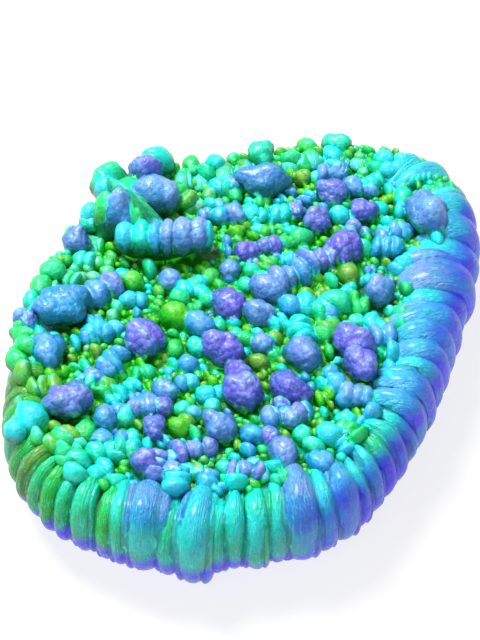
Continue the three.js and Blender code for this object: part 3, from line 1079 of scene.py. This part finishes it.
class NodeBoard:
    """Adds and links the nodes of one node tree."""

    def __init__(self, tree: bpy.types.NodeTree) -> None:
        """Work on one tree."""
        self.tree = tree
        self.column = 0

    def add(self, kind: str, **settings: object) -> bpy.types.Node:
        """Add a node and set its options.

        Args:
            kind: the type of node.
            settings: its options by name.

        Returns:
            The node.
        """
        node = self.tree.nodes.new(kind)
        node.location = (self.column * 180, 0)
        self.column += 1
        for key, value in settings.items():
            setattr(node, key, value)
        return node

    def link(self, source: bpy.types.NodeSocket, target: bpy.types.NodeSocket) -> None:
        """Join two sockets."""
        self.tree.links.new(source, target)

    def put(self, target: bpy.types.NodeSocket, value: object) -> None:
        """Feed a socket from another socket, or set its plain value.

        Args:
            target: the socket to feed.
            value: another socket, or a plain value.
        """
        if isinstance(value, bpy.types.NodeSocket):
            self.link(value, target)
        else:
            target.default_value = value

    def math(self, operation: str, first: object, second: object = 0.0, clamp: bool = False) -> object:
        """Add a math node and return its result.

        Args:
            operation: what it does.
            first: its first value, a socket or a number.
            second: its second value.
            clamp: whether the result is kept within 0 and 1.

        Returns:
            The socket with the result.
        """
        node = self.add("ShaderNodeMath", operation=operation, use_clamp=clamp)
        self.put(node.inputs[0], first)
        self.put(node.inputs[1], second)
        return node.outputs[0]

    def times(self, first: object, second: object) -> object:
        """Multiply two values."""
        return self.math("MULTIPLY", first, second)

    def plus(self, first: object, second: object) -> object:
        """Add two values."""
        return self.math("ADD", first, second)

    def minus(self, first: object, second: object) -> object:
        """Take the second value from the first."""
        return self.math("SUBTRACT", first, second)

    def remap(self, value: object, low: float, high: float, start: float = 0, end: float = 1) -> object:
        """Map a value from one range to another, softly and clamped.

        Args:
            value: the socket to map.
            low: the value that becomes start.
            high: the value that becomes end.
            start: the result at and below low.
            end: the result at and above high.

        Returns:
            The socket with the result.
        """
        node = self.add("ShaderNodeMapRange", interpolation_type="SMOOTHSTEP")
        names = "Value", "From Min", "From Max", "To Min", "To Max"
        for name, given in zip(names, (value, low, high, start, end)):
            self.put(node.inputs[name], given)
        return node.outputs["Result"]

    def mix(self, share: object, first: object, second: object) -> object:
        """Mix two colours and return the result.

        Args:
            share: how much of the second colour, from 0 to 1.
            first: the first colour.
            second: the second colour.

        Returns:
            The socket with the result.
        """
        node = self.add("ShaderNodeMix", data_type="RGBA")
        self.put(node.inputs["Factor"], share)
        self.put(node.inputs[6], first)
        self.put(node.inputs[7], second)
        return node.outputs[2]

    def ramp(self, value: object, stops: Ramp) -> object:
        """Add a colour ramp with stops in display colours.

        Args:
            value: the socket that picks the place.
            stops: the places and their display colours.

        Returns:
            The socket with the colour.
        """
        node = self.add("ShaderNodeValToRGB")
        node.color_ramp.interpolation = "LINEAR"
        marks = node.color_ramp.elements
        while len(marks) < len(stops):
            marks.new(0.5)
        for mark, (place, colour) in zip(marks, stops):
            mark.position = place
            mark.color = to_linear(*colour)
        self.put(node.inputs["Fac"], value)
        return node.outputs["Color"]

    def grain(self, where: object, scale: float, detail: float = 2.0, rough: float = 0.5) -> object:
        """Add a noise texture and return its value.

        Args:
            where: the socket with the place.
            scale: how many bumps to one unit.
            detail: how many finer noises are added.
            rough: how strong the finer noises are.

        Returns:
            The socket with the value.
        """
        node = self.add("ShaderNodeTexNoise")
        self.put(node.inputs["Vector"], where)
        node.inputs["Scale"].default_value = scale
        node.inputs["Detail"].default_value = detail
        node.inputs["Roughness"].default_value = rough
        return node.outputs["Fac"]

    def reading(self, name: str) -> object:
        """Read one number stored on the mesh."""
        node = self.add("ShaderNodeAttribute", attribute_type="GEOMETRY", attribute_name=name)
        return node.outputs["Fac"]


@dataclass(frozen=True)
class FleshPalette:
    """Display colours of the flesh with painted shade and highlight, by tone, low in a swelling, half way
    up and on its top.
    """

    low: Ramp = (
        (0.04, (2, 118, 0)), (0.17, (30, 88, 6)), (0.3, (0, 118, 18)), (0.43, (0, 108, 58)),
        (0.56, (0, 112, 104)), (0.69, (6, 92, 84)), (0.82, (22, 92, 62)), (0.96, (30, 76, 66)),
    )
    middle: Ramp = (
        (0.04, (26, 190, 0)), (0.17, (82, 148, 28)), (0.3, (4, 196, 56)), (0.43, (0, 210, 142)),
        (0.56, (0, 222, 216)), (0.69, (4, 150, 214)), (0.82, (70, 128, 204)), (0.96, (82, 88, 206)),
    )
    top: Ramp = (
        (0.04, (84, 208, 20)), (0.17, (126, 184, 66)), (0.3, (40, 218, 104)), (0.43, (16, 232, 176)),
        (0.56, (12, 236, 244)), (0.69, (76, 174, 244)), (0.82, (132, 168, 236)), (0.96, (130, 132, 236)),
    )
    # Green of the deep creases, which they also give off as painted light
    painted_glow: Colour = (10, 220, 0)
    # Pale colour of the streaks on the pleats, and of the painted glints and painted highlight lines
    outline: Colour = (96, 248, 252)
    violet: Colour = (52, 14, 230)
    fleck: Colour = (108, 70, 236)
    bone: Colour = (214, 204, 182)
    rib: Colour = (168, 156, 132)


@dataclass(frozen=True)
class FleshFinish:
    """Wet coral flesh, whose deep creases give off painted green light, and the bare skeleton of its cut.
    """

    palette: FleshPalette = FleshPalette()
    roughness: float = 0.36
    coat: float = 0.35
    coat_roughness: float = 0.2
    painted_glow_strength: float = 0.28
    greening: float = 0.1
    bump_strength: float = 0.75
    bump_depth: float = 0.0005
    broad_scale: float = 150.0
    fine_scale: float = 800.0
    hair_scale: float = 2200.0
    curl_scale: float = 620.0
    streak_scale: float = 2.6
    streak_stretch: float = 0.16
    cut_heights: tuple[float, float] = (0.0028, 0.0006)
    ribs: float = 96.0

    def material(self, name: str) -> bpy.types.Material:
        """Build the material that wears the mottling and the painted shade, highlights and light given off.

        Args:
            name: the material's name.

        Returns:
            The material.
        """
        material = bpy.data.materials.new(name)
        material.use_nodes = True
        material.node_tree.nodes.clear()
        board = NodeBoard(material.node_tree)
        skin = board.add("ShaderNodeGroup", node_tree=MottlingAndPaintedLight(self).build())
        for mark in MARKS:
            board.link(board.reading(mark), skin.inputs[mark])
        board.link(board.add("ShaderNodeTexCoord").outputs["Object"], skin.inputs["where"])
        bump = board.add("ShaderNodeBump")
        bump.inputs["Strength"].default_value = self.bump_strength
        bump.inputs["Distance"].default_value = self.bump_depth
        board.link(skin.outputs["Height"], bump.inputs["Height"])
        shader = board.add("ShaderNodeBsdfPrincipled")
        shader.inputs["Coat Weight"].default_value = self.coat
        shader.inputs["Coat Roughness"].default_value = self.coat_roughness
        shader.inputs["Emission Strength"].default_value = self.painted_glow_strength
        board.link(skin.outputs["Color"], shader.inputs["Base Color"])
        board.link(skin.outputs["Roughness"], shader.inputs["Roughness"])
        board.link(skin.outputs["PaintedGlow"], shader.inputs["Emission Color"])
        board.link(bump.outputs["Normal"], shader.inputs["Normal"])
        board.link(shader.outputs["BSDF"], board.add("ShaderNodeOutputMaterial").inputs["Surface"])
        return material


class MottlingAndPaintedLight:
    """The group that turns the stored marks into colour with painted shade and highlights, painted light
    given off, roughness and height.
    """

    def __init__(self, finish: FleshFinish) -> None:
        """Start the group, and add the nodes that read the marks, the place and the noises.

        Args:
            finish: what gives the colours and the measures.
        """
        self.finish = finish
        self.group = bpy.data.node_groups.new("flesh_mottling_and_painted_light", "ShaderNodeTree")
        add_socket = self.group.interface.new_socket
        for name in MARKS:
            add_socket(name, in_out="INPUT", socket_type="NodeSocketFloat")
        add_socket("where", in_out="INPUT", socket_type="NodeSocketVector")
        for name in ("Color", "PaintedGlow"):
            add_socket(name, in_out="OUTPUT", socket_type="NodeSocketColor")
        for name in ("Roughness", "Height"):
            add_socket(name, in_out="OUTPUT", socket_type="NodeSocketFloat")
        board = self.board = NodeBoard(self.group)
        self.marks = board.add("NodeGroupInput").outputs
        self.where = self.marks["where"]
        self.broad = board.grain(self.where, finish.broad_scale)
        self.fine = board.grain(self.where, finish.fine_scale, 3, 0.6)
        self.hairs = board.grain(self.where, finish.hair_scale)
        flow = board.add("ShaderNodeCombineXYZ")
        board.link(self.marks["across"], flow.inputs["X"])
        board.link(board.times(self.marks["along"], finish.streak_stretch), flow.inputs["Y"])
        self.streaks = board.grain(flow.outputs["Vector"], finish.streak_scale, 3, 0.65)
        self.pleated = board.remap(self.marks["along"], 0.0, 0.1)
        apart = board.add("ShaderNodeSeparateXYZ")
        board.link(self.where, apart.inputs["Vector"])
        self.x, self.y, self.z = apart.outputs[:]

    def build(self) -> bpy.types.NodeTree:
        """Lay the colours over each other and join everything to the outputs.

        Returns:
            The finished group.
        """
        board, palette = self.board, self.finish.palette
        streak = board.times(board.remap(self.streaks, 0.55, 0.66, 0, 0.65), self.pleated)
        # Painted glints: small pale specks on the larger swellings
        glint = board.remap(self.marks["girth"], 1.8, 3.4, 0.1, 0.45)
        glint = board.times(board.remap(self.hairs, 0.62, 0.72), glint)
        violet = board.times(self.marks["under"], board.remap(self.broad, 0.3, 0.62, 0.6, 1))
        deep, painted_edge_highlight = self.creases()
        colour = self.flesh()
        # Over the flesh: pale streaks on the pleats, painted glints, the violet, the creases' green and the
        # painted highlight lines
        for share, paint in (
            (streak, palette.outline), (glint, palette.outline), (violet, palette.violet),
            (deep, palette.painted_glow), (painted_edge_highlight, palette.outline),
        ):
            colour = board.mix(share, colour, to_linear(*paint))
        # Painted light given off: green in the deep creases and violet on the violet parts
        painted_glow = board.mix(deep, BLACK, to_linear(*palette.painted_glow))
        painted_glow = board.mix(board.times(violet, 0.8), painted_glow, to_linear(*palette.violet))
        cut = board.remap(self.z, *self.finish.cut_heights)
        base = self.finish.roughness
        made = {
            "Color": board.mix(cut, colour, self.skeleton()),
            "PaintedGlow": board.mix(cut, painted_glow, BLACK),
            "Roughness": board.remap(self.fine, 0.3, 0.7, base - 0.1, base + 0.14),
            "Height": self.relief(),
        }
        result = board.add("NodeGroupOutput").inputs
        for name, value in made.items():
            board.link(value, result[name])
        return self.group

    def flesh(self) -> object:
        """Colour the flesh by tone and by height in its swelling, greener at the left and back.

        Returns:
            The socket with the colour.
        """
        board, palette, green = self.board, self.finish.palette, self.finish.greening
        west = board.remap(self.x, -0.005, -0.05, 0, green)
        north = board.remap(self.y, 0.02, 0.055, 0, green)
        south = board.times(self.pleated, board.remap(self.x, 0.03, 0.0, 0, green * 0.5))
        greening = board.plus(board.math("MAXIMUM", west, north), south)
        shift = board.times(board.minus(self.broad, 0.5), 0.5)
        tone = board.math("ADD", self.marks["tone"], board.times(shift, 0.5), clamp=True)
        tone = board.math("SUBTRACT", tone, greening, clamp=True)
        flutter = board.times(board.minus(self.fine, 0.5), 0.85)
        rise = board.plus(board.plus(self.marks["rise"], shift), flutter)
        low, middle, top = (board.ramp(tone, stops) for stops in (palette.low, palette.middle, palette.top))
        low = board.mix(board.times(self.pleated, 0.45), low, middle)
        # By height in each swelling: darker low and lighter on top, partly the flesh's own colours and
        # partly painted shade and painted highlight
        colour = board.mix(board.remap(rise, -0.15, 0.6), low, middle)
        colour = board.mix(board.remap(rise, 0.42, 1.05), colour, top)
        patch = board.times(board.remap(self.broad, 0.45, 0.62), board.remap(self.fine, 0.35, 0.6))
        fleck = board.times(board.remap(self.marks["tone"], 0.8, 0.98), patch)
        fleck = board.times(fleck, board.remap(self.marks["rise"], 0.2, 0.8, 0, 0.6))
        return board.mix(fleck, colour, to_linear(*palette.fleck))

    def creases(self) -> tuple[object, object]:
        """Tell the creases low down, which are green and give off painted light, from the higher ones,
        which get painted highlight lines.

        Returns:
            The sockets with the share of painted light given off and of painted highlight line.
        """
        board, marks = self.board, self.marks
        line = board.remap(board.plus(marks["crease"], board.times(self.pleated, 0.1)), 0.26, 0.72)
        # Deep creases low down get their green and give it off as painted light
        deep = board.times(line, board.remap(marks["rise"], 0.6, 0.1))
        dimmed = board.minus(board.remap(marks["under"], 0.0, 0.4, 1, 0), board.times(self.pleated, 0.75))
        deep = board.math("MULTIPLY", deep, dimmed, clamp=True)
        height = board.plus(marks["rise"], self.pleated)
        # Painted highlight: a pale line along the higher creases, on the edges of the lumps
        painted_edge_highlight = board.times(line, board.remap(height, 0.1, 0.9, 0, 0.9))
        painted_edge_highlight = board.times(painted_edge_highlight, board.remap(marks["girth"], 1.2, 2.4, 0.1, 1))
        lump = board.times(board.remap(marks["girth"], 3.2, 4.2), board.minus(1.0, self.pleated))
        painted_edge_highlight = board.times(painted_edge_highlight, board.minus(1.0, board.times(lump, 0.8)))
        return deep, board.times(painted_edge_highlight, board.remap(marks["under"], 0.0, 0.4, 1, 0.4))

    def skeleton(self) -> object:
        """Colour the cut underneath like bare skeleton, with ribs that spread from its middle.

        Returns:
            The socket with the colour.
        """
        board, palette = self.board, self.finish.palette
        bone, rib = to_linear(*palette.bone), to_linear(*palette.rib)
        turn = board.times(board.math("ARCTAN2", self.y, self.x), self.finish.ribs)
        wave = board.math("SINE", board.plus(turn, board.times(self.broad, 9)))
        ribbed = board.mix(board.remap(wave, -1, 1, 0.2, 0.8), bone, rib)
        return board.mix(board.remap(self.fine, 0.4, 0.6, 0, 0.4), ribbed, rib)

    def relief(self) -> object:
        """Make the fine height: grain, streaks along the pleats and curls on the purple lumps.

        Returns:
            The socket with the height.
        """
        board = self.board
        cells = board.add("ShaderNodeTexVoronoi")
        board.link(self.where, cells.inputs["Vector"])
        cells.inputs["Scale"].default_value = self.finish.curl_scale
        curled = board.remap(self.marks["tone"], 0.7, 0.95, 0.3, 1.7)
        wave = board.times(self.streaks, board.times(self.pleated, 2.2))
        height = board.plus(board.plus(board.times(self.hairs, 0.3), self.fine), wave)
        return board.minus(height, board.times(curled, cells.outputs["Distance"]))


@dataclass
class Studio:
    """The pale floor, soft lights and the camera at the photograph's angle."""

    elevation: float = 50.0
    distance: float = 0.42
    focal_pixels: float = 1638.0
    frame_pixels: float = 640.0
    sensor: float = 36.0
    floor_drop: float = 0.0001
    floor_grey: float = 0.2
    floor_glow: float = 0.8
    surround: float = 0.36
    aim: Vector = field(default_factory=lambda: Vector((0, 0.008, 0.010)))

    def camera(self) -> None:
        """Place the camera."""
        tilt = math.radians(self.elevation)
        data = bpy.data.cameras.new("viewpoint")
        data.sensor_width = self.sensor
        data.lens = self.focal_pixels * self.sensor / self.frame_pixels
        data.clip_start = 0.01
        eye = bpy.data.objects.new("viewpoint", data)
        eye.location = self.aim + Vector((0, -math.cos(tilt), math.sin(tilt))) * self.distance
        eye.rotation_euler = (math.pi / 2 - tilt, 0, 0)
        bpy.context.scene.collection.objects.link(eye)
        bpy.context.scene.camera = eye

    def floor(self) -> None:
        """Lay the plain pale floor."""
        bm = bmesh.new()
        below = Matrix.Translation((0, 0, -self.floor_drop))
        bmesh.ops.create_grid(bm, x_segments=2, y_segments=2, size=4, matrix=below)
        mesh = bpy.data.meshes.new("pale_floor")
        bm.to_mesh(mesh)
        bm.free()
        floor = bpy.data.objects.new("pale_floor", mesh)
        bpy.context.scene.collection.objects.link(floor)
        material = bpy.data.materials.new("pale_floor")
        material.use_nodes = True
        shader = material.node_tree.nodes["Principled BSDF"]
        shader.inputs["Base Color"].default_value = (*[self.floor_grey] * 3, 1)
        shader.inputs["Roughness"].default_value = 0.9
        shader.inputs["Specular IOR Level"].default_value = 0.1
        shader.inputs["Emission Color"].default_value = WHITE
        shader.inputs["Emission Strength"].default_value = self.floor_glow
        mesh.materials.append(material)

    def lamp(self, name: str, place: Vector, size: float, power: float) -> None:
        """Hang one soft square lamp that faces the coral.

        Args:
            name: its name.
            place: where it hangs, in metres.
            size: the length of its side.
            power: its power in watts.
        """
        data = bpy.data.lights.new(name, "AREA")
        data.size = size
        data.energy = power
        lamp = bpy.data.objects.new(name, data)
        lamp.location = place
        lamp.rotation_euler = (self.aim - place).to_track_quat("-Z", "Y").to_euler()
        bpy.context.scene.collection.objects.link(lamp)

    def light(self) -> None:
        """Light the coral softly from above, with a white surround."""
        scene = bpy.context.scene
        scene.view_settings.view_transform = "Standard"
        world = bpy.data.worlds.new("white_surround")
        world.use_nodes = True
        world.node_tree.nodes["Background"].inputs["Color"].default_value = WHITE
        world.node_tree.nodes["Background"].inputs["Strength"].default_value = self.surround
        scene.world = world
        self.lamp("top_softbox", Vector((-0.3, 0.3, 0.75)), 0.28, 9.5)
        self.lamp("front_fill", Vector((-0.4, -0.5, 0.6)), 0.4, 1.5)

    def build(self) -> None:
        """Set up the whole studio."""
        self.camera()
        self.floor()
        self.light()


def finish_piece(piece: bpy.types.Object, material: bpy.types.Material, relief: Relief) -> None:
    """Mark, shrink, smooth and dress one fused piece, and tie it to the frame.

    Args:
        piece: the fused piece in millimetres.
        material: its finish.
        relief: what marks its creases and undersides.
    """
    relief.mark(piece)
    mesh = piece.data
    mesh.transform(Matrix.Scale(MM, 4))
    mesh.materials.clear()
    mesh.materials.append(material)
    mesh.shade_smooth()
    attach(piece, "root")
    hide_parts(NODE)
    mesh.calc_loop_triangles()
    LOG.info("%s: %d triangles", piece.name, len(mesh.loop_triangles))


def main() -> None:
    """Build the studio and the coral."""
    logging.basicConfig(level=logging.INFO, format="%(name)s: %(message)s")
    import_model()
    Studio().build()
    skin = Skin(SEED)
    material = FleshFinish().material("coral_flesh")
    rim = Rim(skin)
    finish_piece(rim.grow(), material, Relief())
    finish_piece(Bed(skin, rim).grow(), material, Relief(undersides=0.0))


if __name__ == "__main__":
    main()
